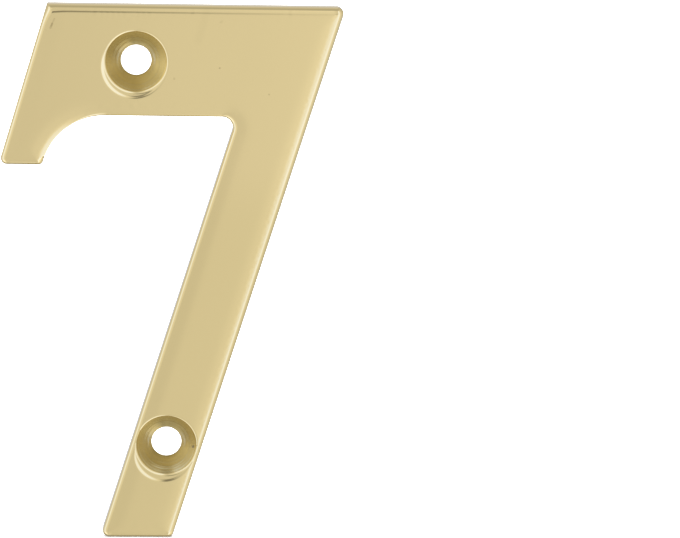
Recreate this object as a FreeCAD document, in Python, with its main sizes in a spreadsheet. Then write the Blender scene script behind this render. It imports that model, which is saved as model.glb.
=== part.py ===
import FreeCAD, Part
import math
import os

import Sketcher

# A polished brass door number, the figure seven: one flat plate with rounded front edges, made to be
# fixed to a door by two countersunk wood screws.
# +Z is up and the front faces along -Y. The origin lies on the axis of the upper screw hole, on the
# flat back of the plate.

# Driving dimensions in millimetres and degrees: name, value, meaning.
SIZES = [
    ("height", 76.0, "top edge to the end of the stem"),
    ("thickness", 3.0, "flat back to flat front"),
    ("top_length", 41.5, "length of the top edge"),
    ("bar_height", 15.5, "top edge to the underside of the bar"),
    ("stem_width", 9.8, "width of the stem, square to its edges"),
    ("stem_lean", 17.1, "lean of the stem from upright"),
    ("hook_drop", 7.05, "how far the hook hangs below the bar"),
    ("hook_width", 6.1, "width of the hook's end"),
    ("hook_radius", 8.75, "hollow between the hook and the bar"),
    ("hook_lean", 16.4, "lean of the left end of the bar from upright"),
    ("edge_radius", 0.8, "rounding around the front of the outline"),
    ("front_corner_radius", 0.1, "outer corners of the flat front, inside that rounding"),
    ("inner_radius", 1.5, "corner between the bar and the stem"),
    ("hole_from_top", 7.9, "upper hole's axis to the top edge"),
    ("hole_from_left", 12.4, "upper hole's axis to the top left corner"),
    ("lower_hole_height", 13.5, "lower hole's axis to the end of the stem"),
    ("bore_diameter", 4.2, "clear hole for the screw's shank"),
    ("bore_land", 0.35, "straight wall left behind the countersink"),
    ("sink_angle", 82.0, "full angle of the countersink"),
    ("lip_radius", 1.1, "rounding between the countersink and the front"),
    ("flare_angle", 8.0, "slope at which the countersink's lip runs out into the front"),
    ("flare_width", 0.2, "width of that slope"),
    ("cut_over", 0.3, "how far the hole cutters stand out of the plate"),
]

# A point closer than this to a corner or a plane counts as on it.
TOLERANCE = 0.001

doc = FreeCAD.newDocument("door_number")
sheet = doc.addObject("Spreadsheet::Sheet", "Sizes")
for row, (name, value, meaning) in enumerate(SIZES, start=1):
    sheet.set(f"A{row}", meaning)
    sheet.set(f"B{row}", str(value))
    sheet.setAlias(f"B{row}", name)
doc.recompute()

body = doc.addObject("PartDesign::Body", "numeral_seven")
body.Label = "numeral_seven"


def size(name):
    return float(sheet.get(name))


def tangent(name):
    return math.tan(math.radians(size(name)))


def new_sketch(name, plane):
    sketch = body.newObject("Sketcher::SketchObject", name)
    origin_plane = next(f for f in body.Origin.OriginFeatures if f.Role == plane)
    sketch.AttachmentSupport = [(origin_plane, "")]
    sketch.MapMode = "FlatFace"
    return sketch


def line(start, end):
    return Part.LineSegment(FreeCAD.Vector(*start, 0), FreeCAD.Vector(*end, 0))


def arc(centre, radius, first_angle, last_angle):
    circle = Part.Circle(FreeCAD.Vector(*centre, 0), FreeCAD.Vector(0, 0, 1), radius)
    return Part.ArcOfCircle(circle, first_angle, last_angle)


def drive(sketch, name, formula, kind, *where):
    index = sketch.addConstraint(Sketcher.Constraint(kind, *where, float(sketch.evalExpression(formula))))
    sketch.renameConstraint(index, name)
    sketch.setExpression(f"Constraints.{name}", formula)


def outline_sketch():
    sketch = new_sketch("outline", "XZ_Plane")

    top = size("hole_from_top")
    foot = top - size("height")
    underside = top - size("bar_height")
    hook_end = underside - size("hook_drop")
    across_stem = size("stem_width") / math.cos(math.radians(size("stem_lean")))

    left = -size("hole_from_left")
    right = left + size("top_length")
    foot_right = right - size("height") * tangent("stem_lean")
    foot_left = foot_right - across_stem
    inner = right - size("bar_height") * tangent("stem_lean") - across_stem
    hook_left = left - (top - hook_end) * tangent("hook_lean")
    hook_right = hook_left + size("hook_width")
    hollow_z = underside - size("hook_radius")
    hollow_x = hook_right + math.sqrt(size("hook_radius") ** 2 - (hook_end - hollow_z) ** 2)
    hook_turn = math.atan2(hook_end - hollow_z, hook_right - hollow_x)

    top_edge = sketch.addGeometry(line((left, top), (right, top)))
    stem_right = sketch.addGeometry(line((right, top), (foot_right, foot)))
    foot_edge = sketch.addGeometry(line((foot_right, foot), (foot_left, foot)))
    stem_left = sketch.addGeometry(line((foot_left, foot), (inner, underside)))
    bar_under = sketch.addGeometry(line((inner, underside), (hollow_x, underside)))
    hollow = sketch.addGeometry(arc((hollow_x, hollow_z), size("hook_radius"), math.pi / 2, hook_turn))
    hook_foot = sketch.addGeometry(line((hook_right, hook_end), (hook_left, hook_end)))
    bar_end = sketch.addGeometry(line((hook_left, hook_end), (left, top)))

    round_the_outline = [top_edge, stem_right, foot_edge, stem_left, bar_under, hollow, hook_foot, bar_end]
    for before, after in zip(round_the_outline, round_the_outline[1:] + round_the_outline[:1]):
        joined = "Tangent" if after == hollow else "Coincident"
        sketch.addConstraint(Sketcher.Constraint(joined, before, 2, after, 1))
    for level in (top_edge, foot_edge, bar_under, hook_foot):
        sketch.addConstraint(Sketcher.Constraint("Horizontal", level))
    sketch.addConstraint(Sketcher.Constraint("Parallel", stem_right, stem_left))

    origin = (-1, 1)
    drive(sketch, "above_hole", "Sizes.hole_from_top", "DistanceY", *origin, top_edge, 1)
    drive(sketch, "left_of_hole", "Sizes.hole_from_left", "DistanceX", top_edge, 1, *origin)
    drive(sketch, "along_top", "Sizes.top_length", "DistanceX", top_edge, 1, top_edge, 2)
    drive(sketch, "tall", "Sizes.height", "DistanceY", stem_right, 2, stem_right, 1)
    stem_run = "Sizes.height * tan(Sizes.stem_lean)"
    drive(sketch, "stem_run", stem_run, "DistanceX", stem_right, 2, stem_right, 1)
    drive(sketch, "across_stem", "Sizes.stem_width", "Distance", stem_left, 1, stem_right)
    drive(sketch, "bar_depth", "Sizes.bar_height", "DistanceY", bar_under, 1, top_edge, 2)
    drive(sketch, "hollow_size", "Sizes.hook_radius", "Radius", hollow)
    drive(sketch, "hook_depth", "Sizes.hook_drop", "DistanceY", hook_foot, 1, bar_under, 2)
    drive(sketch, "across_hook", "Sizes.hook_width", "DistanceX", hook_foot, 2, hook_foot, 1)
    bar_end_run = "(Sizes.bar_height + Sizes.hook_drop) * tan(Sizes.hook_lean)"
    drive(sketch, "bar_end_run", bar_end_run, "DistanceX", bar_end, 1, bar_end, 2)

    # The top left corner and the inner corner of the hook's end are left sharp.
    outer_corners = [sketch.getPoint(edge, 2) for edge in (top_edge, stem_right, foot_edge, hook_foot)]
    inner_corner = sketch.getPoint(stem_left, 2)
    return sketch, outer_corners, inner_corner


def hole_section(name):
    # Half section of a screw hole, from before the front to behind the back: depth along the
    # sketch's own X, and radius along its Y.
    sketch = new_sketch(name, "YZ_Plane")

    half_angle = math.radians(size("sink_angle") / 2)
    flare_angle = math.radians(size("flare_angle"))
    bore = size("bore_diameter") / 2
    behind = size("cut_over")
    land = -size("bore_land")
    before = -size("thickness") - size("cut_over")
    flare_depth = size("flare_width") * math.tan(flare_angle) - size("thickness")
    lip_depth = flare_depth + size("lip_radius") * math.cos(flare_angle)
    sink_depth = lip_depth - size("lip_radius") * math.sin(half_angle)
    sink = bore + (land - sink_depth) * math.tan(half_angle)
    lip_out = sink + size("lip_radius") * math.cos(half_angle)
    flare = lip_out - size("lip_radius") * math.sin(flare_angle)
    mouth = flare + (flare_depth - before) / math.tan(flare_angle)
    lip_angles = (math.pi + flare_angle, 1.5 * math.pi - half_angle)

    front_end = sketch.addGeometry(line((before, 0), (before, mouth)))
    flare_cone = sketch.addGeometry(line((before, mouth), (flare_depth, flare)))
    lip = sketch.addGeometry(arc((lip_depth, lip_out), size("lip_radius"), *lip_angles))
    sink_cone = sketch.addGeometry(line((sink_depth, sink), (land, bore)))
    wall = sketch.addGeometry(line((land, bore), (behind, bore)))
    back_end = sketch.addGeometry(line((behind, bore), (behind, 0)))
    axis = sketch.addGeometry(line((behind, 0), (before, 0)))

    round_the_section = [front_end, flare_cone, lip, sink_cone, wall, back_end, axis]
    for earlier, later in zip(round_the_section, round_the_section[1:] + round_the_section[:1]):
        joined = "Tangent" if lip in (earlier, later) else "Coincident"
        sketch.addConstraint(Sketcher.Constraint(joined, earlier, 2, later, 1))
    for square in (front_end, back_end):
        sketch.addConstraint(Sketcher.Constraint("Vertical", square))
    for along in (wall, axis):
        sketch.addConstraint(Sketcher.Constraint("Horizontal", along))

    origin = (-1, 1)
    level_axis = -1
    flare_formula = "Sizes.thickness - Sizes.flare_width * tan(Sizes.flare_angle)"
    sketch.addConstraint(Sketcher.Constraint("PointOnObject", axis, 1, level_axis))
    drive(sketch, "behind_back", "Sizes.cut_over", "DistanceX", *origin, axis, 1)
    drive(sketch, "before_front", "Sizes.thickness + Sizes.cut_over", "DistanceX", axis, 2, *origin)
    drive(sketch, "bore", "Sizes.bore_diameter / 2", "DistanceY", back_end, 2, back_end, 1)
    drive(sketch, "land", "Sizes.bore_land", "DistanceX", wall, 1, *origin)
    drive(sketch, "lip", "Sizes.lip_radius", "Radius", lip)
    drive(sketch, "lip_reach", "Sizes.lip_radius * cos(Sizes.sink_angle / 2)", "DistanceY", lip, 2, lip, 3)
    drive(sketch, "flare", flare_formula, "DistanceX", lip, 1, *origin)
    drive(sketch, "lip_rise", "Sizes.lip_radius * cos(Sizes.flare_angle)", "DistanceX", lip, 1, lip, 3)
    return sketch


def stands_on(corner):
    # Picks the edge through the plate's thickness at a corner of the outline.
    def test(edge):
        ends = [vertex.Point for vertex in edge.Vertexes]
        return all(math.hypot(end.x - corner.x, end.z - corner.y) < TOLERANCE for end in ends)
    return test


def at_front(edge):
    return all(abs(vertex.Point.y + size("thickness")) < TOLERANCE for vertex in edge.Vertexes)


def round_edges(name, base, tests, radius):
    numbered = enumerate(base.Shape.Edges, start=1)
    chosen = [f"Edge{number}" for number, edge in numbered if any(test(edge) for test in tests)]
    fillet = body.newObject("PartDesign::Fillet", name)
    fillet.Base = (base, chosen)
    fillet.setExpression("Radius", radius)
    doc.recompute()
    return fillet


def screw_hole(name, x_formula, z_formula):
    # The section stands along the stem, where the hole's mouth is furthest from the rounded edges.
    section = hole_section(f"{name}_section")
    lean = FreeCAD.Rotation(FreeCAD.Vector(1, 0, 0), size("stem_lean"))
    section.AttachmentOffset = FreeCAD.Placement(FreeCAD.Vector(), lean)
    section.setExpression("AttachmentOffset.Rotation.Angle", "Sizes.stem_lean")
    section.setExpression("AttachmentOffset.Base.y", z_formula)
    section.setExpression("AttachmentOffset.Base.z", x_formula)
    hole = body.newObject("PartDesign::Groove", name)
    hole.Profile = section
    hole.ReferenceAxis = (section, ["H_Axis"])
    hole.Angle = 360
    doc.recompute()
    return hole


outline, outer_corners, inner_corner = outline_sketch()
plate = body.newObject("PartDesign::Pad", "plate")
plate.Profile = outline
plate.setExpression("Length", "Sizes.thickness")
doc.recompute()

outer_tests = [stands_on(corner) for corner in outer_corners]
outer_radius = "Sizes.front_corner_radius + Sizes.edge_radius"
outer_rounds = round_edges("outer_rounds", plate, outer_tests, outer_radius)
inner_round = round_edges("inner_round", outer_rounds, [stands_on(inner_corner)], "Sizes.inner_radius")
front_rounds = round_edges("front_rounds", inner_round, [at_front], "Sizes.edge_radius")

lower_hole_x = (
    "Sizes.top_length - Sizes.hole_from_left"
    " - (Sizes.height - Sizes.lower_hole_height) * tan(Sizes.stem_lean)"
    " - Sizes.stem_width / (2 * cos(Sizes.stem_lean))"
)
lower_hole_z = "Sizes.hole_from_top - Sizes.height + Sizes.lower_hole_height"
lower_hole = screw_hole("lower_hole", lower_hole_x, lower_hole_z)
upper_hole = screw_hole("upper_hole", "0", "0")

for item in doc.Objects:
    if "Invalid" in item.State or "Error" in item.State:
        raise RuntimeError(f"{item.Name} failed: {item.State}")
if body.Shape.isNull() or not body.Shape.isValid() or len(body.Shape.Solids) != 1:
    raise RuntimeError("the plate isn't one valid solid")
for whole, cut in ((front_rounds, lower_hole), (lower_hole, upper_hole)):
    if cut.Shape.Volume > whole.Shape.Volume - TOLERANCE:
        raise RuntimeError(f"{cut.Name} cuts nothing")

os.makedirs("parts", exist_ok=True)
body.Shape.exportStep("parts/numeral_seven.step")
box = body.Shape.BoundBox
print(f"box {box.XLength:.2f} x {box.YLength:.2f} x {box.ZLength:.2f} mm, {body.Shape.Volume:.1f} cubic mm")
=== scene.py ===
import math

import bpy
from mathutils import Matrix, Vector
from mathutils.geometry import delaunay_2d_cdt
from mathutils.kdtree import KDTree


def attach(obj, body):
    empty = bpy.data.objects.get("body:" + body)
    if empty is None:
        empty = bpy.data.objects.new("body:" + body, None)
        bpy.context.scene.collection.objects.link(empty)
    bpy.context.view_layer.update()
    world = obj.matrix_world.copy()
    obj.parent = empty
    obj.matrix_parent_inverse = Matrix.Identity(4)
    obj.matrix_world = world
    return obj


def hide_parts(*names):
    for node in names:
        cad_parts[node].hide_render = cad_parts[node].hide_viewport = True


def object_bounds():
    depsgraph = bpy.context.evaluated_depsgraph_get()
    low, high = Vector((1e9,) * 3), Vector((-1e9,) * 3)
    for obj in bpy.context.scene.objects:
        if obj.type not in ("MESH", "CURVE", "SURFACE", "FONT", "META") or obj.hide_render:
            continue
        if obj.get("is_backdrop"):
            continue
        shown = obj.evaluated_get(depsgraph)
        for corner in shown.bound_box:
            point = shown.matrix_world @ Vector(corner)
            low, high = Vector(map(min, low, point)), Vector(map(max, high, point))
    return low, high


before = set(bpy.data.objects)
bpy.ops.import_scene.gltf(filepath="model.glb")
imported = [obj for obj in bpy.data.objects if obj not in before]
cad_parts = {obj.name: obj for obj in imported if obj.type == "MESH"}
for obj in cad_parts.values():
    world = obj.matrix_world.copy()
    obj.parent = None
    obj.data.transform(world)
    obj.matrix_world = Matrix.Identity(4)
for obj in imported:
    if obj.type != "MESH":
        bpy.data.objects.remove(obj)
cadLow, cadHigh = (list(corner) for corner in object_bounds())
mm = 0.001
cadSize = [round((b - a) / mm, 2) for a, b in zip(cadLow, cadHigh)]
print("frame loaded, nodes:", len(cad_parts), "box in mm:", cadSize)


# A socket that takes Python's operators, so that shader and geometry maths read as sums.
class Field:
    def __init__(self, tree, socket):
        self.tree = tree
        self.socket = socket

    def maths(self, operation, *values):
        return self.tree.add("ShaderNodeMath", {"operation": operation}, values)

    def __add__(self, other):
        return self.maths("ADD", self, other)

    def __radd__(self, other):
        return self.maths("ADD", other, self)

    def __sub__(self, other):
        return self.maths("SUBTRACT", self, other)

    def __rsub__(self, other):
        return self.maths("SUBTRACT", other, self)

    def __mul__(self, other):
        return self.maths("MULTIPLY", self, other)

    def __rmul__(self, other):
        return self.maths("MULTIPLY", other, self)

    def __truediv__(self, other):
        return self.maths("DIVIDE", self, other)

    def __rtruediv__(self, other):
        return self.maths("DIVIDE", other, self)

    def __pow__(self, other):
        return self.maths("POWER", self, other)

    def __neg__(self):
        return self.maths("MULTIPLY", self, -1.0)

    def __gt__(self, other):
        return self.maths("GREATER_THAN", self, other)

    def __lt__(self, other):
        return self.maths("LESS_THAN", self, other)

    def atLeast(self, other):
        return self.maths("MAXIMUM", self, other)

    def atMost(self, other):
        return self.maths("MINIMUM", self, other)

    def root(self):
        return self.maths("SQRT", self)

    def absolute(self):
        return self.maths("ABSOLUTE", self)

    # 0 before start, 1 after end, eased between the two
    def rise(self, start, end):
        eased = {"interpolation_type": "SMOOTHERSTEP"}
        return self.tree.add("ShaderNodeMapRange", eased, (self, start, end))

    # 1 between start and end, eased over soft on both sides
    def window(self, start, end, soft):
        return self.rise(start - soft, start) * (1 - self.rise(end, end + soft))


class Nodes:
    def __init__(self, tree):
        self.tree = tree

    # Any node: its type, its settings, then the values or links of its sockets by place or by name.
    def add(self, kind, settings=None, values=(), out=0):
        node = self.tree.nodes.new(kind)
        for name, value in (settings or {}).items():
            if name == "stops":
                self.rampStops(node.color_ramp, value)
            else:
                setattr(node, name, value)
        pairs = values.items() if isinstance(values, dict) else enumerate(values)
        for place, value in pairs:
            self.feed(node.inputs[place], value)
        return Field(self, node.outputs[out]) if node.outputs else None

    def feed(self, socket, value):
        if isinstance(value, Field):
            self.tree.links.new(value.socket, socket)
        else:
            socket.default_value = value

    def rampStops(self, ramp, stops):
        while len(ramp.elements) < len(stops):
            ramp.elements.new(1.0)
        for element, (place, level) in zip(ramp.elements, stops):
            element.position = place
            element.color = (level, level, level, 1.0)

    def split(self, vector):
        node = self.add("ShaderNodeSeparateXYZ", None, (vector,)).socket.node
        return [Field(self, socket) for socket in node.outputs]

    def joined(self, x, y, z):
        return self.add("ShaderNodeCombineXYZ", None, (x, y, z))

    def vectors(self, operation, values, out=0):
        return self.add("ShaderNodeVectorMath", {"operation": operation}, values, out)

    def blend(self, share, first, second):
        return self.add("ShaderNodeMix", {"data_type": "RGBA"}, {0: share, 6: first, 7: second}, 2)

    def noise(self, vector, scale, detail, roughness=0.5):
        sockets = {"Vector": vector, "Scale": scale, "Detail": detail, "Roughness": roughness}
        return self.add("ShaderNodeTexNoise", None, sockets)


# The numeral, in mm, X to the right and Z up, from the axis of the upper screw hole on the back.
numeral = {
    "height": 76.0,
    "thickness": 3.0,
    "topLength": 41.5,
    "barHeight": 15.5,
    "stemWidth": 9.8,
    "stemLean": 17.1,
    "hookDrop": 7.05,
    "hookWidth": 6.1,
    "hookRadius": 8.75,
    "hookLean": 16.4,
    "hollowSteps": 24,
    "cornerRadius": 0.9,
    "hookTipRadius": 0.7,
    "topLeftRadius": 0.12,
    "innerRadius": 1.5,
    "holeFromTop": 7.9,
    "holeFromLeft": 12.4,
    "lowerHoleHeight": 13.5,
}
holes = {
    "boreRadius": 2.1,
    "land": 0.35,
    "sinkAngle": 82.0,
    "lipRadius": 0.06,
    "lipWear": 0.7,  # how much more the mop has rolled the lip over at its lowest point
    "wearPower": 2,  # how fast that fades to the sides
    "shoulders": [(-0.28, -0.58, 4.6), (-0.37, -0.95, 4.42)],  # off each axis: x, z, radius
    "shoulderDepth": 0.05,
    "shoulderTilt": 0.012,  # how much deeper it lies for each mm towards the side that it is off to
    "shoulderSlope": 0.5,
    "ridgeSharpness": 5.0,  # where a lip meets the edge of the stem
    "clearOfBore": 1.05,  # in bore radii: what lies further out is no edge of a bore
    "nearest": 1.001,  # slack in telling which hole is the nearer
}
edges = {
    # how far the front edge of each side is rolled over
    "hookEnd": 0.9,
    "hollow": 0.0,
    "hollowEnd": 0.55,  # share of the hollow's arc that stays unrolled
    "underBar": 0.6,
    "stemLeft": 0.66,
    "foot": 0.9,
    "stemRight": 0.75,
    "top": 1.05,
    "barEnd": 0.66,
    "blend": 0.3,  # run over which one side's edge turns into the next
    "wornCorner": 1.25,
    "wearReach": 1.6,
    "buffReach": 3.2,  # the mop rolls the face over this far in from the edge
    "buffDepth": 0.12,
    "hollowReach": 1.3,  # and a little more along the hollow, which is not rolled over
    "hollowDepth": 0.035,
    "fallPower": 3,  # how steeply both fall away at the edge
    "mopPasses": 6,  # rounds of smoothing of the buffed fall
    "foldAngle": 38,  # degrees, from which an edge is shaded sharp
}
nick = {"place": (-12.72, -13.6), "radius": 0.34, "depth": 0.16}  # by the tip of the hook
# The points of the flat sheets, in mm.
sheet = {
    "edgeStep": 0.25,  # spacing along the outline
    "finest": 0.05,  # and along the one that distances are taken from
    "wholeSide": 100.0,  # longer than any side, which then stays undivided
    "cornerStep": 0.11,
    "cornerLeast": 6,
    "edgeRows": 20,
    "leastRows": 0.3,  # the rows along an edge reach in at least this far
    "beyondRows": (0.07, 0.15, 0.25, 0.38, 0.54),
    "rowSlack": (0.985, 0.001),  # a row's point may be nearer to another edge by this share and length
    "rowRoom": (0.05, 0.2),  # room that it needs, and the most as a share of its inset
    "outerRows": 0.4,  # the rows up to this inset also run past a screw seat
    "rowsToHole": 5.3,  # and the others stop this far from the axis
    "holePoints": 144,  # round each ring
    "holeRow": 0.0742,  # from ring to ring
    "seatReach": 5.9,  # the rings round a hole go out to this radius
    "seatToEdge": 0.42,  # and stay this far from the edge
    "seatRoom": 0.06,
    "fine": 0.22,  # grid near the edges
    "fineBeyond": 0.3,  # how far it runs on past the buffed band
    "coarse": 0.7,  # grid on the rest of the face
    "rowHeight": 0.866,  # of the spacing, for even triangles
    "crowding": 0.6,  # of the spacing, for which a point needs room
    "cell": 0.35,  # of the squares in which near points are looked for
    "closeness": 1e-7,  # of two points that count as one
    "boreSlack": 0.9995,  # in bore radii: a triangle further in lies in the hole
    "weld": 1e-4,  # the gap over which walls join the back sheet
}


def holeCentres():
    lean = math.tan(math.radians(numeral["stemLean"]))
    top = numeral["holeFromTop"]
    right = numeral["topLength"] - numeral["holeFromLeft"]
    low = top - numeral["height"] + numeral["lowerHoleHeight"]
    middle = right - lean * (top - low) - numeral["stemWidth"] / 2 / math.cos(math.atan(lean))
    return [(0.0, 0.0), (middle, low)]


# Corners in order, each with its radius and how far the edge that runs on from it is rolled over.
def outlineCorners():
    lean = math.tan(math.radians(numeral["stemLean"]))
    hookLean = math.tan(math.radians(numeral["hookLean"]))
    across = numeral["stemWidth"] / math.cos(math.atan(lean))
    top = numeral["holeFromTop"]
    left = -numeral["holeFromLeft"]
    right = left + numeral["topLength"]
    foot = top - numeral["height"]
    under = top - numeral["barHeight"]
    hook = under - numeral["hookDrop"]
    hookLeft = left - hookLean * (top - hook)
    hookRight = hookLeft + numeral["hookWidth"]
    turn = numeral["hookRadius"]
    below = under - turn
    middle = hookRight + math.sqrt(turn ** 2 - (hook - below) ** 2)
    first = math.atan2(hook - below, hookRight - middle)
    corners = [(hookLeft, hook, numeral["cornerRadius"], edges["hookEnd"]),
               (hookRight, hook, numeral["hookTipRadius"], edges["hookEnd"])]
    steps = numeral["hollowSteps"]
    for i in range(2, steps + 1):
        angle = first + (math.pi / 2 - first) * i / steps
        share = min(1.0, max(0.0, i / steps - edges["hollowEnd"]) / (1 - edges["hollowEnd"]))
        roll = edges["hollow"] * (1 - share) + edges["underBar"] * share
        corners.append((middle + turn * math.cos(angle), below + turn * math.sin(angle), 0.0, roll))
    stemUnder = right - lean * (top - under)
    stemFoot = right - lean * (top - foot)
    corners += [(stemUnder - across, under, numeral["innerRadius"], edges["stemLeft"]),
                (stemFoot - across, foot, numeral["cornerRadius"], edges["foot"]),
                (stemFoot, foot, numeral["cornerRadius"], edges["stemRight"]),
                (right, top, numeral["cornerRadius"], edges["top"]),
                (left, top, numeral["topLeftRadius"], edges["barEnd"])]
    return corners


# The corners rounded, and the runs between them divided: x, z and the roll of the front edge.
def outlinePoints(step):
    given = outlineCorners()
    corners = [Vector((x, z)) for x, z, radius, roll in given]
    rolls = [roll for x, z, radius, roll in given]
    bends = []
    for i, corner in enumerate(corners):
        radius = given[i][2]
        before = (corners[i - 1] - corner).normalized()
        after = (corners[(i + 1) % len(corners)] - corner).normalized()
        if radius == 0:
            bends.append([corner])
            continue
        half = before.angle(after) / 2
        centre = corner + (before + after).normalized() * radius / math.sin(half)
        start = corner + before * radius / math.tan(half) - centre
        end = corner + after * radius / math.tan(half) - centre
        sweep = start.angle_signed(end)
        count = max(sheet["cornerLeast"], round(abs(sweep) * radius / sheet["cornerStep"]))
        bends.append([centre + Matrix.Rotation(-sweep * k / count, 2) @ start for k in range(count + 1)])
    points = []
    for i, (bend, following) in enumerate(zip(bends, bends[1:] + bends[:1])):
        for k, point in enumerate(bend):
            share = (k + 0.5) / len(bend)
            points.append((point.x, point.y, rolls[i - 1] * (1 - share) + rolls[i] * share))
        gap = following[0] - bend[-1]
        count = max(1, round(gap.length / step))
        for k in range(1, count):
            point = bend[-1] + gap * k / count
            points.append((point.x, point.y, rolls[i]))
    return points


# The rolled edge eased from side to side, and worn at the top left corner.
def easedRolls(points, step):
    reach = round(edges["blend"] / step)
    count = len(points)
    total = [0.0]
    for k in range(count + 2 * reach + 1):
        total.append(total[-1] + points[(k - reach) % count][2])
    corner = Vector((-numeral["holeFromLeft"], numeral["holeFromTop"]))
    rolls = []
    for k, (x, z, roll) in enumerate(points):
        mean = (total[k + 2 * reach + 1] - total[k]) / (2 * reach + 1)
        wear = math.exp(-((Vector((x, z)) - corner).length / edges["wearReach"]) ** 2)
        rolls.append(mean * (1 - wear) + edges["wornCorner"] * wear)
    return rolls


def treeOf(points):
    tree = KDTree(len(points))
    for i, point in enumerate(points):
        tree.insert((point[0], point[1], 0.0), i)
    tree.balance()
    return tree


# Whether a point lies inside the outline.
def insideOf(border, x, z):
    isInside = False
    for (ax, az), (bx, bz) in zip(border, border[1:] + border[:1]):
        if (az > z) != (bz > z) and x < ax + (bx - ax) * (z - az) / (bz - az):
            isInside = not isInside
    return isInside


# Points are taken in turn, and one that crowds those already there is left out.
class Scatter:
    def __init__(self):
        self.points = []
        self.cells = {}

    def offer(self, x, z, room):
        cell = sheet["cell"]
        i, k = math.floor(x / cell), math.floor(z / cell)
        reach = math.ceil(room / cell)
        for a in range(i - reach, i + reach + 1):
            for b in range(k - reach, k + reach + 1):
                for px, pz in self.cells.get((a, b), ()):
                    if (px - x) ** 2 + (pz - z) ** 2 < room * room:
                        return
        self.points.append((x, z))
        self.cells.setdefault((i, k), []).append((x, z))


def onCircle(centre, radius, step):
    angle = 2 * math.pi * step / sheet["holePoints"]
    return centre[0] + radius * math.cos(angle), centre[1] + radius * math.sin(angle)


# The flat blank: a fine front sheet and a plain back sheet on the same outline and bores.
def blankSheets():
    outline = [point[:2] for point in outlinePoints(sheet["edgeStep"])]
    border = [point[:2] for point in outlinePoints(sheet["wholeSide"])]
    centres = holeCentres()
    finest = outlinePoints(sheet["finest"])
    edgeTree = treeOf(finest)
    rolls = easedRolls(finest, sheet["finest"])
    around = range(sheet["holePoints"])
    bores = [onCircle(centre, holes["boreRadius"], k) for centre in centres for k in around]

    def fromEdge(x, z):
        return edgeTree.find((x, z, 0.0))[2]

    def rollAt(x, z):
        return rolls[edgeTree.find((x, z, 0.0))[1]]

    def fromHole(x, z):
        return min(math.hypot(x - cx, z - cz) for cx, cz in centres)

    def closed(start, count):
        return [(start + k, start + (k + 1) % count) for k in range(count)]

    rims = closed(0, len(outline))
    for k in range(len(centres)):
        rims += closed(len(outline) + k * sheet["holePoints"], sheet["holePoints"])

    scatter = Scatter()
    for x, z in outline + bores:
        scatter.offer(x, z, 0.0)
    rows = sheet["edgeRows"]
    count = len(outline)
    steps = [(1 - math.cos(math.pi / 2 * row / rows), 0.0) for row in range(1, rows + 1)]
    steps += [(1.0, beyond) for beyond in sheet["beyondRows"]]
    slackShare, slackLength = sheet["rowSlack"]
    rowRoom, rowRoomShare = sheet["rowRoom"]
    for share, beyond in steps:  # even steps of angle round the rolled edge, then a few on the flat
        for i, (x, z) in enumerate(outline):
            inset = max(rollAt(x, z), sheet["leastRows"]) * share + beyond
            run = Vector(outline[(i + 1) % count]) - Vector(outline[i - 1])
            run.normalize()
            px, pz = x - run.y * inset, z + run.x * inset
            isClear = fromEdge(px, pz) > inset * slackShare - slackLength
            if isClear and (inset < sheet["outerRows"] or fromHole(px, pz) > sheet["rowsToHole"]):
                scatter.offer(px, pz, min(rowRoom, inset * rowRoomShare))
    turnRows = round((sheet["seatReach"] - holes["boreRadius"]) / sheet["holeRow"])
    for centre in centres:
        for row in range(1, turnRows + 1):
            radius = holes["boreRadius"] + row * sheet["holeRow"]
            for k in around:
                x, z = onCircle(centre, radius, k + 0.5 * (row % 2))
                if fromEdge(x, z) > sheet["seatToEdge"] and insideOf(border, x, z):
                    scatter.offer(x, z, sheet["seatRoom"])
    low = [min(point[k] for point in outline) for k in (0, 1)]
    high = [max(point[k] for point in outline) for k in (0, 1)]
    for spacing, isFine in ((sheet["fine"], True), (sheet["coarse"], False)):
        rowStep = spacing * sheet["rowHeight"]
        for row in range(int((high[1] - low[1]) / rowStep) + 1):
            for k in range(int((high[0] - low[0]) / spacing) + 1):
                x = low[0] + spacing * (k + 0.5 * (row % 2))
                z = low[1] + rowStep * row
                away = fromEdge(x, z)
                inRows = away < max(rollAt(x, z), sheet["leastRows"]) + sheet["beyondRows"][-1]
                if inRows or fromHole(x, z) < sheet["seatReach"] or not insideOf(border, x, z):
                    continue
                if not isFine or away < edges["buffReach"] + sheet["fineBeyond"]:
                    scatter.offer(x, z, spacing * sheet["crowding"])

    def filled(points):
        flat = [Vector(point) for point in points]
        made = delaunay_2d_cdt(flat, rims, [], 1, sheet["closeness"])  # 1: all inside the outline
        faces = []
        for face in made[2]:
            x = sum(made[0][i].x for i in face) / 3
            z = sum(made[0][i].y for i in face) / 3
            if fromHole(x, z) > holes["boreRadius"] * sheet["boreSlack"]:
                faces.append(tuple(face))
        return [(point.x, point.y) for point in made[0]], faces

    front, frontFaces = filled(scatter.points)
    back, backFaces = filled(outline + bores)
    vertices = [(x * mm, 0.0, z * mm) for x, z in front + back]
    faces = frontFaces + [tuple(len(front) + i for i in reversed(face)) for face in backFaces]
    mesh = bpy.data.meshes.new("numeralBlank")
    mesh.from_pydata(vertices, [], faces)
    side = mesh.attributes.new("frontSide", "FLOAT", "POINT")
    side.data.foreach_set("value", [1.0] * len(front) + [0.0] * len(back))
    roll = mesh.attributes.new("edgeRoll", "FLOAT", "POINT")
    roll.data.foreach_set("value", [rollAt(x, z) * mm for x, z in front + back])
    print("blank sheets:", len(front), "front points,", len(back), "back points")
    return mesh


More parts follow.
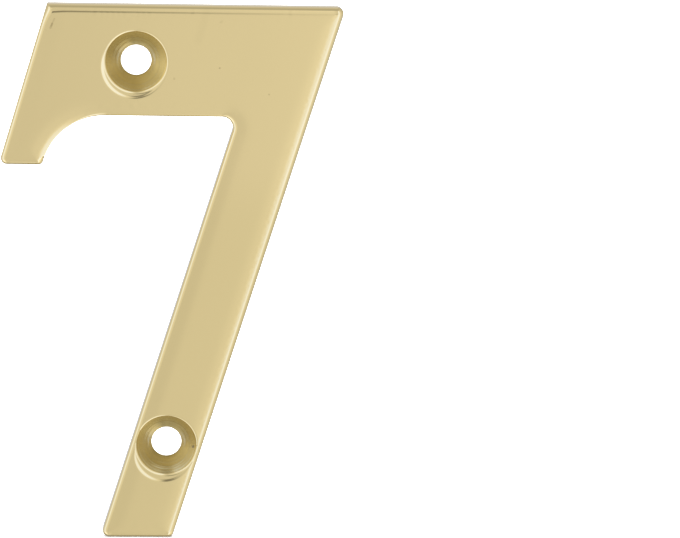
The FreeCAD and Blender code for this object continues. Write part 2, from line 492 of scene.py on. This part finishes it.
# The rule of the shape: how deep the front lies under the flat, from its distance to the edge and
# to the axes of the holes.
def numeralTree():
    tree = bpy.data.node_groups.new("numeralFromBlank", "GeometryNodeTree")
    inputs = {
        "Thickness": numeral["thickness"] * mm,
        "Buff Reach": edges["buffReach"] * mm,
        "Buff Depth": edges["buffDepth"] * mm,
        "Hollow Reach": edges["hollowReach"] * mm,
        "Hollow Depth": edges["hollowDepth"] * mm,
        "Under Bar Roll": edges["underBar"] * mm,
        "Bore Radius": holes["boreRadius"] * mm,
        "Land": holes["land"] * mm,
        "Lip Radius": holes["lipRadius"] * mm,
        "Lip Wear": holes["lipWear"] * mm,
        "Sink Angle": math.radians(holes["sinkAngle"]),
        "Shoulder Depth": holes["shoulderDepth"] * mm,
        "Shoulder Slope": holes["shoulderSlope"] * mm,
        "Shoulder Tilt": holes["shoulderTilt"],
        "Upper Shoulder Radius": holes["shoulders"][0][2] * mm,
        "Lower Shoulder Radius": holes["shoulders"][1][2] * mm,
        "Ridge Sharpness": holes["ridgeSharpness"],
        "Nick Radius": nick["radius"] * mm,
        "Nick Depth": nick["depth"] * mm,
    }
    tree.interface.new_socket("Blank", in_out="INPUT", socket_type="NodeSocketGeometry")
    for name in inputs:
        tree.interface.new_socket(name, in_out="INPUT", socket_type="NodeSocketFloat")
    tree.interface.new_socket("Mop Passes", in_out="INPUT", socket_type="NodeSocketInt")
    for name in ("Upper Hole", "Lower Hole", "Upper Shoulder", "Lower Shoulder", "Nick"):
        tree.interface.new_socket(name, in_out="INPUT", socket_type="NodeSocketVector")
    tree.interface.new_socket("Brass", in_out="INPUT", socket_type="NodeSocketMaterial")
    tree.interface.new_socket("Numeral", in_out="OUTPUT", socket_type="NodeSocketGeometry")
    nodes = Nodes(tree)
    entry = tree.nodes.new("NodeGroupInput")
    given = {socket.name: Field(nodes, socket) for socket in entry.outputs if socket.name}
    place = nodes.add("GeometryNodeInputPosition")
    x, z = nodes.split(place)[::2]
    isFront = nodes.add("GeometryNodeInputNamedAttribute", {"data_type": "FLOAT"}, ("frontSide",)) > 0.5
    thickness = given["Thickness"]

    def apart(name):
        return nodes.vectors("DISTANCE", (place, given[name]), 1)

    fromAxis = apart("Upper Hole").atMost(apart("Lower Hole"))

    # outer rim of the blank, without the bores
    single = nodes.add("GeometryNodeInputMeshEdgeNeighbors") < 1.5  # edges with one face
    rim = single * (fromAxis > given["Bore Radius"] * holes["clearOfBore"])
    outline = nodes.add("GeometryNodeSeparateGeometry", {"domain": "EDGE"}, (given["Blank"], rim))
    toEdge = nodes.add("GeometryNodeProximity", {"target_element": "EDGES"}, {0: outline}, 1)

    radius = nodes.add("GeometryNodeInputNamedAttribute", {"data_type": "FLOAT"}, ("edgeRoll",))
    inRound = (radius - toEdge).atLeast(0.0)
    roundDrop = radius - (radius * radius - inRound * inRound).atLeast(0.0).root()
    sharpEdge = (1 - radius / given["Under Bar Roll"]).atLeast(0.0)
    fall = edges["fallPower"]
    inHollow = (1 - toEdge / given["Hollow Reach"]).atLeast(0.0)
    hollowDrop = given["Hollow Depth"] * sharpEdge * inHollow ** fall
    buffDrop = given["Buff Depth"] * (1 - toEdge / given["Buff Reach"]).atLeast(0.0) ** fall
    softEdge = nodes.add("GeometryNodeBlurAttribute", {"data_type": "FLOAT"},
                         (buffDrop, given["Mop Passes"], 1.0))
    # screw seat: a cone, then an arc up to the face, which is wider where the lip is worn
    worn = 0.0
    for name in ("Upper Hole", "Lower Hole"):
        below = (nodes.split(given[name])[2] - z) / apart(name)
        isNearest = apart(name) < fromAxis * holes["nearest"]
        worn = worn + below.atLeast(0.0) ** holes["wearPower"] * isNearest
    lipRadius = given["Lip Radius"] + given["Lip Wear"] * worn
    half = given["Sink Angle"] / 2
    sine, cosine, tangent = (half.maths(name, half) for name in ("SINE", "COSINE", "TANGENT"))
    cone = thickness - given["Land"] - (fromAxis - given["Bore Radius"]) / tangent
    coneEnd = given["Bore Radius"] + (thickness - given["Land"] - lipRadius * (1 - sine)) * tangent
    inLip = (coneEnd + lipRadius * cosine - fromAxis).atLeast(0.0)
    arc = lipRadius - (lipRadius * lipRadius - inLip * inLip).atLeast(0.0).root()
    inCone = fromAxis < coneEnd
    lip = cone * inCone + arc * (1 - inCone)
    # the shoulder of the tool has cut in off the axis, and deeper on the side that it leans to
    shoulder = 0.0
    for name in ("Upper", "Lower"):
        shift = nodes.vectors("SUBTRACT", (given[name + " Shoulder"], given[name + " Hole"]))
        lean = nodes.vectors("NORMALIZE", (shift,))
        out = nodes.vectors("SUBTRACT", (place, given[name + " Shoulder"]))
        along = nodes.vectors("DOT_PRODUCT", (out, lean), 1)
        inside = given[name + " Shoulder Radius"] - apart(name + " Shoulder")
        depth = (given["Shoulder Depth"] + given["Shoulder Tilt"] * along).atLeast(0.0)
        shoulder = shoulder + depth * inside.rise(0.0, given["Shoulder Slope"])
    sharp = given["Ridge Sharpness"]  # the deeper of two cuts, with a rolled ridge between
    lip = (lip ** sharp + shoulder ** sharp) ** (1 / sharp)
    drop = ((roundDrop + hollowDrop + softEdge) ** sharp + lip ** sharp) ** (1 / sharp)
    drop = drop + given["Nick Depth"] * (1 - apart("Nick").rise(0.0, given["Nick Radius"]))
    drop = drop.atMost(thickness - given["Land"])

    shaped = nodes.add("GeometryNodeSetPosition", None,
                       (given["Blank"], isFront, nodes.joined(x, drop - thickness, z)))
    # walls of the outline and the bores, from the front sheet back to the back plane
    rims = {0: shaped, 1: single * isFront, 3: 0.0}
    walls = nodes.add("GeometryNodeExtrudeMesh", {"mode": "EDGES"}, rims)
    reached = Field(nodes, walls.socket.node.outputs["Top"])
    flat = nodes.vectors("MULTIPLY", (place, (1.0, 0.0, 1.0)))
    solid = nodes.add("GeometryNodeSetPosition", None, (walls, reached, flat))
    solid = nodes.add("GeometryNodeMergeByDistance", None, {0: solid, 2: sheet["weld"] * mm})
    solid = nodes.add("GeometryNodeSetShadeSmooth", {"domain": "FACE"}, (solid, True, True))
    fold = nodes.add("GeometryNodeInputMeshEdgeAngle") > math.radians(edges["foldAngle"])
    solid = nodes.add("GeometryNodeSetShadeSmooth", {"domain": "EDGE"}, (solid, fold, False))
    solid = nodes.add("GeometryNodeRealizeInstances", None, (solid,))
    solid = nodes.add("GeometryNodeSetMaterial", None, {0: solid, 2: given["Brass"]})
    nodes.add("NodeGroupOutput", None, (solid,))
    return tree, inputs


# Brass, polished on the face and edges, turned in the screw seats, linished on the back.
brass = {
    "colour": (0.90, 0.738, 0.385, 1.0),
    # deep tone for the haze and the back, and the painted shade low on the stem
    "deepToneAndShadeColour": (0.78, 0.64, 0.31, 1.0),
    "seatColour": (0.88, 0.745, 0.41, 1.0),
    "seatShadeColour": (0.45, 0.36, 0.15, 1.0),  # painted shade: darker towards the lowest point of each seat and in its turned rings
    # painted shade: the walls and the outer roll of the edges are darker
    "wallShadeColour": (0.80, 0.66, 0.36, 1.0),
    "markColour": (0.30, 0.23, 0.10, 1.0),
    # where each finish begins and has fully set in, in mm
    "backFrom": (-0.02, -0.005),
    "wallFrom": (0.5, 0.75),
    "seatFrom": (0.2, 0.4),
    "seatEnd": (4.2, 4.35),
    "stemShadeBelow": (-26, -11),  # painted shade: the stem is painted darker than the bar, from this height down
    # how much of the deep colour is in the haze, on the back, and as painted shade low on the stem
    "deepShares": (0.12, 0.1, 0.3),
    "seatShadeFrom": (-0.2, 0.9),  # from the sides of a seat to its lowest point
    "seatShadeShare": 0.7,
    "ringShade": (0.48, 0.9),  # painted shade in the rings: from which noise on, and how much
    "seatReach": 6.0,  # further from an axis nothing counts as low in a seat
    # roughness, then how far it varies
    "polish": (0.07, 0.02),
    "seatRoughness": (0.2, 0.06),
    "backRoughness": (0.34, 0.2),
    "wallRoughness": 0.12,
    "markRoughness": 0.2,
    "hazeScale": 0.09,
    "buffTurn": 24,  # degrees
    "buffScale": (0.35, 1.0, 7.0),
    "linishScale": (0.5, 1.0, 14.0),
    "lineRoughness": 0.6,  # of the noise that makes rings and lines
    "ringsPerMm": 2.6,
    # heights and depths in mm
    "ringDepth": 0.06,
    "buffDepth": 0.0002,
    "linishDepth": 0.004,
    "markDepth": 0.01,
    "markCore": 0.15,  # share of a mark's width that is at full strength
    "chatter": (3.54, 0.07, 0.02),  # a turned ridge in the lower seat: radius, half width, height
    "chatterBelow": (-58.0, -57.4),  # only where the cutter ran off, at the bottom
}
# Small marks on the front, in mm: from x, z to x, z, then width and strength.
marks = [
    (-11.3, 5.9, -11.75, 4.9, 0.2, 0.2),
    (-11.6, 5.2, -11.83, 4.62, 0.26, 0.26),
    (-12.78, -13.45, -12.7, -13.55, 0.16, 0.8),
    (9.68, 7.2, 8.63, 3.15, 0.9, 0.03),
    (11.56, -0.68, 11.62, -0.68, 0.2, 0.35),
    (18.48, -4.29, 18.52, -4.3, 0.22, 0.22),
    (5.28, -2.2, 5.3, -2.3, 0.24, 0.16),
    (11.71, 5.72, 11.8, 5.8, 0.3, 0.08),
    (8.57, -54.8, 8.5, -54.98, 0.24, 0.9),
]


def brassMaterial():
    material = bpy.data.materials.new("polishedBrass")
    material.use_nodes = True
    material.node_tree.nodes.clear()
    nodes = Nodes(material.node_tree)
    place = nodes.add("ShaderNodeTexCoord", None, (), 3)
    scaled = nodes.vectors("SCALE", {0: place, 3: 1 / mm})
    x, y, z = nodes.split(scaled)  # in mm
    across = [((x - cx) * (x - cx) + (z - cz) * (z - cz)).root() for cx, cz in holeCentres()]
    fromAxis = across[0].atMost(across[1])

    depth = y + numeral["thickness"]
    back = y.rise(*brass["backFrom"])
    seat = (1 - fromAxis.rise(*brass["seatEnd"])) * depth.rise(*brass["seatFrom"]) * (1 - back)
    wall = depth.rise(*brass["wallFrom"]) * (1 - seat)

    mark = 0.0
    for ax, az, bx, bz, width, strength in marks:
        dx, dz = bx - ax, bz - az
        along = (((x - ax) * dx + (z - az) * dz) / (dx * dx + dz * dz)).atLeast(0.0).atMost(1.0)
        sideX, sideZ = x - ax - along * dx, z - az - along * dz
        apart = (sideX * sideX + sideZ * sideZ).root()
        mark = mark + (1 - apart.rise(width * brass["markCore"], width)) * strength
    mark = mark * (1 - back)

    # haze, buffing lines, turned rings and linishing lines, each as a noise about its middle of 0.5
    lineRoughness = brass["lineRoughness"]
    haze = nodes.noise(scaled, brass["hazeScale"], 3.0)
    buffTurn = (0.0, math.radians(brass["buffTurn"]), 0.0)
    stroke = nodes.add("ShaderNodeMapping", None, {0: scaled, 2: buffTurn, 3: brass["buffScale"]})
    buffing = nodes.noise(stroke, 1.0, 3.0, lineRoughness)
    turned = nodes.joined(fromAxis * brass["ringsPerMm"], 0.0, 0.0)
    rings = nodes.noise(turned, 1.0, 2.0, lineRoughness)
    grain = nodes.add("ShaderNodeMapping", None, {0: scaled, 3: brass["linishScale"]})
    linish = nodes.noise(grain, 1.0, 3.0, lineRoughness)

    # haze and back are deeper in tone; low on the stem the deep colour is painted shade
    hazeShare, backShare, stemShadeShare = brass["deepShares"]
    stemShade = 1 - z.rise(*brass["stemShadeBelow"])
    deep = (haze - 0.5) * hazeShare + back * backShare + stemShade * stemShadeShare
    colour = nodes.blend(deep.atLeast(0.0), brass["colour"], brass["deepToneAndShadeColour"])
    colour = nodes.blend(seat, colour, brass["seatColour"])
    # painted shade: each seat darker towards its lowest point and in its turned rings
    low = 0.0
    for (cx, cz), away in zip(holeCentres(), across):
        low = low + (cz - z) / away * (away < brass["seatReach"])
    ringShadeFrom, ringShadeShare = brass["ringShade"]
    seatShade = low.rise(*brass["seatShadeFrom"]) * brass["seatShadeShare"]
    seatShade = seatShade + (rings - ringShadeFrom).atLeast(0.0) * ringShadeShare
    colour = nodes.blend(seat * seatShade, colour, brass["seatShadeColour"])
    # painted shade on the walls and the outer roll of the edges
    colour = nodes.blend(wall * (1 - back), colour, brass["wallShadeColour"])
    colour = nodes.blend(mark.atMost(1.0), colour, brass["markColour"])

    front = 1 - seat.atLeast(wall)
    polish, polishVaries = brass["polish"]
    rough = front * (polish + (buffing - 0.5) * polishVaries + (haze - 0.5) * polishVaries)
    for finish, lines, name in ((seat, rings, "seatRoughness"), (back, linish, "backRoughness")):
        mean, varies = brass[name]
        rough = rough + finish * (mean + (lines - 0.5) * varies)
    rough = rough + wall * (1 - back) * brass["wallRoughness"] + mark * brass["markRoughness"]

    ridgeAt, ridgeHalf, ridgeHeight = brass["chatter"]
    ridge = 1 - (across[1] - ridgeAt).absolute().rise(0.0, ridgeHalf)
    ridge = ridge * (1 - z.rise(*brass["chatterBelow"]))
    height = seat * ((rings - 0.5) * brass["ringDepth"] + ridge * ridgeHeight)
    height = height + front * (buffing - 0.5) * brass["buffDepth"]
    height = height + back * (linish - 0.5) * brass["linishDepth"] - mark * brass["markDepth"]
    bump = nodes.add("ShaderNodeBump", None, {"Strength": 1.0, "Distance": mm, "Height": height})
    surface = nodes.add("ShaderNodeBsdfPrincipled", None, {
        "Base Color": colour, "Metallic": 1.0, "Roughness": rough, "Normal": bump})
    nodes.add("ShaderNodeOutputMaterial", None, (surface,))
    return material


def onFlat(x, z):
    return x * mm, 0.0, z * mm


def makeNumeral():
    blank = bpy.data.objects.new("numeralBlank", blankSheets())
    bpy.context.scene.collection.objects.link(blank)
    tree, inputs = numeralTree()
    modifier = blank.modifiers.new("numeral", "NODES")
    modifier.node_group = tree
    given = dict(inputs)
    given["Mop Passes"] = edges["mopPasses"]
    for name, (cx, cz), shoulder in zip(("Upper", "Lower"), holeCentres(), holes["shoulders"]):
        given[name + " Hole"] = onFlat(cx, cz)
        given[name + " Shoulder"] = onFlat(cx + shoulder[0], cz + shoulder[1])
    given["Nick"] = onFlat(*nick["place"])
    given["Brass"] = brassMaterial()
    for socket in tree.interface.items_tree:
        if socket.in_out == "INPUT" and socket.name in given:
            modifier[socket.identifier] = given[socket.name]
    graph = bpy.context.evaluated_depsgraph_get()
    mesh = bpy.data.meshes.new_from_object(blank.evaluated_get(graph))
    mesh.name = "numeral"
    blank.modifiers.remove(modifier)
    bpy.data.objects.remove(blank)
    for name in ("frontSide", "edgeRoll"):
        mesh.attributes.remove(mesh.attributes[name])
    piece = bpy.data.objects.new("numeral", mesh)
    bpy.context.scene.collection.objects.link(piece)
    print("numeral:", len(mesh.vertices), "points,", len(mesh.polygons), "faces")
    return piece


# The studio: a pale floor, a wide soft light over it and a dome that the brass reflects. Rise is in
# degrees above the floor, turn in degrees from the front to the right, and a third value is how soft.
studio = {
    "floorSize": 12.0,
    "floorColour": (0.9, 0.9, 0.9, 1.0),
    "floorRoughness": 0.9,
    "lampEnergy": 140.0,
    "lampSize": 2.4,
    "lampPlace": (0.0, 0.3, 1.8),
    "backdrop": (0.95, 0.95, 0.95, 1.0),
    # how bright the dome is near the floor, by its turn
    "around": [(-180, 0.76), (-165, 0.66), (-105, 0.68), (-88, 0.88), (-75, 1.05), (-60, 1.02),
               (-40, 0.86), (-24, 0.82), (-16, 0.79), (-11, 0.71), (-2.2, 0.7), (-1.4, 0.717),
               (-1.0, 0.737), (-0.6, 0.757), (1.5, 0.77), (2.7, 0.80), (4.2, 0.83), (5.7, 0.88),
               (8, 0.96), (15, 1.05), (37, 1.05), (46, 0.88), (60, 0.86), (80, 0.72), (100, 0.6),
               (165, 0.6), (180, 0.76)],
    "mostLight": 2.0,  # that the ramp of the dome stands for
    "whiter": (0.11, 0.5),  # how much more green and blue the brightest parts hold
    "whiterFrom": (0.87, 1.05),
    "sideWhite": 0.5,  # how much of that the sides hold, near the floor
    "sideTurn": (75, 100),
    "sideRise": (-20, -2, 10),
    "overhead": 0.5,
    "overheadRise": (62, 82),
    "cameraShade": 0.62,  # the dark of the room round the camera
    "shadeRise": (4, 19, 5),
    "shadeTurn": (-6, -4, 9),
    "rear": (0.0, 0.4),  # how far behind a direction points, of 1
    "underneath": 0.46,  # how much light is lost low down behind
    "underneathRise": (-40, -18),
    "underneathClear": (85, 110, 60),  # but not on the right
    "lowWarmth": 0.7,  # and how much warmer it is there
    "warmRise": (-55, -30),
    # pale walls low down: gain, then from, to, soft
    "lowLights": [(0.35, 60, 110, 60), (0.2, -110, -60, 60)],
    "lowRise": (-40, -25),
}


def makeFloor():
    mesh = bpy.data.meshes.new("floor")
    half = studio["floorSize"] / 2
    level = (numeral["holeFromTop"] - numeral["height"]) * mm
    corners = [(-half, -half, level), (half, -half, level), (half, half, level), (-half, half, level)]
    mesh.from_pydata(corners, [], [(0, 1, 2, 3)])
    floor = bpy.data.objects.new("floor", mesh)
    bpy.context.scene.collection.objects.link(floor)
    material = bpy.data.materials.new("paleFloor")
    material.use_nodes = True
    material.node_tree.nodes.clear()
    nodes = Nodes(material.node_tree)
    surface = nodes.add("ShaderNodeBsdfPrincipled", None, {
        "Base Color": studio["floorColour"], "Roughness": studio["floorRoughness"]})
    nodes.add("ShaderNodeOutputMaterial", None, (surface,))
    mesh.materials.append(material)
    floor.visible_glossy = False  # the brass reflects the dome alone
    floor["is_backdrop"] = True


def makeDome():
    world = bpy.data.worlds.new("studioDome")
    world.use_nodes = True
    world.node_tree.nodes.clear()
    bpy.context.scene.world = world
    nodes = Nodes(world.node_tree)
    x, y, z = nodes.split(nodes.add("ShaderNodeTexCoord", None, (), 0))
    turn = x.maths("ARCTAN2", x, -y) * (180 / math.pi)  # degrees from the front, to the right
    rise = z.maths("ARCSINE", z) * (180 / math.pi)  # degrees above the floor
    most = studio["mostLight"]
    stops = [((place + 180) / 360, level / most) for place, level in studio["around"]]
    ring = nodes.add("ShaderNodeValToRGB", {"stops": stops}, (turn / 360 + 0.5,))
    light = most * nodes.split(ring)[0]
    overhead = rise.rise(*studio["overheadRise"])
    light = light * (1 - overhead) + studio["overhead"] * overhead
    shade = rise.window(*studio["shadeRise"]) * turn.window(*studio["shadeTurn"])
    light = light * (1 - studio["cameraShade"] * shade)
    rear = y.rise(*studio["rear"])
    clear = turn.window(*studio["underneathClear"])
    behind = rear * (1 - rise.rise(*studio["underneathRise"])) * (1 - clear)
    light = light * (1 - studio["underneath"] * behind)
    white = light.rise(*studio["whiterFrom"])
    low = 1 - rise.rise(*studio["lowRise"])
    for gain, start, end, soft in studio["lowLights"]:
        light = light * (1 + gain * low * turn.window(start, end, soft))
    side = turn.absolute().rise(*studio["sideTurn"]) * rise.window(*studio["sideRise"])
    white = white.atLeast(studio["sideWhite"] * side)
    white = white - studio["lowWarmth"] * rear * (1 - rise.rise(*studio["warmRise"]))
    green, blue = (light * (1 + more * white) for more in studio["whiter"])
    shown = nodes.add("ShaderNodeBackground", None, (nodes.joined(light, green, blue), 1.0))
    plain = nodes.add("ShaderNodeBackground", None, (studio["backdrop"], 1.0))
    seen = nodes.add("ShaderNodeLightPath")  # is camera ray
    mixed = nodes.add("ShaderNodeMixShader", None, (seen, shown, plain))
    nodes.add("ShaderNodeOutputWorld", None, (mixed,))


def makeLight():
    lamp = bpy.data.lights.new("softBox", "AREA")
    lamp.shape = "SQUARE"
    lamp.size = studio["lampSize"]
    lamp.energy = studio["lampEnergy"]
    light = bpy.data.objects.new("softBox", lamp)
    light.location = studio["lampPlace"]
    light.visible_glossy = False
    light.visible_camera = False
    bpy.context.scene.collection.objects.link(light)


# The camera stands where the photograph was taken from, in mm and degrees. Its lens is for a frame
# of 680 by 538.
view = {
    "stands": (4.28, -472.45, 59.08),
    "turn": -3.0,
    "dip": 10.6,
    "roll": 1.11,
    "lens": 180.0,
    "sensor": 36.0,
    "nearest": 0.01,
}


def makeCamera():
    turn, dip, roll = (math.radians(view[name]) for name in ("turn", "dip", "roll"))
    back = Vector((math.sin(turn) * math.cos(dip), -math.cos(turn) * math.cos(dip), math.sin(dip)))
    right = Vector((math.cos(turn), math.sin(turn), 0.0))
    up = back.cross(right)
    tilted = right * math.cos(roll) + up * math.sin(roll)
    upright = up * math.cos(roll) - right * math.sin(roll)
    data = bpy.data.cameras.new("camera")
    data.lens = view["lens"]
    data.sensor_width = view["sensor"]
    data.clip_start = view["nearest"]
    camera = bpy.data.objects.new("camera", data)
    camera.matrix_world = Matrix((tilted, upright, back)).transposed().to_4x4()
    camera.location = Vector(view["stands"]) * mm
    bpy.context.scene.collection.objects.link(camera)
    bpy.context.scene.camera = camera


makeFloor()
makeDome()
makeLight()
makeCamera()
print("studio and camera set")
piece = makeNumeral()
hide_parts("numeral_seven")
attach(piece, "root")
bpy.context.scene.view_settings.view_transform = "Standard"
print("numeral placed")
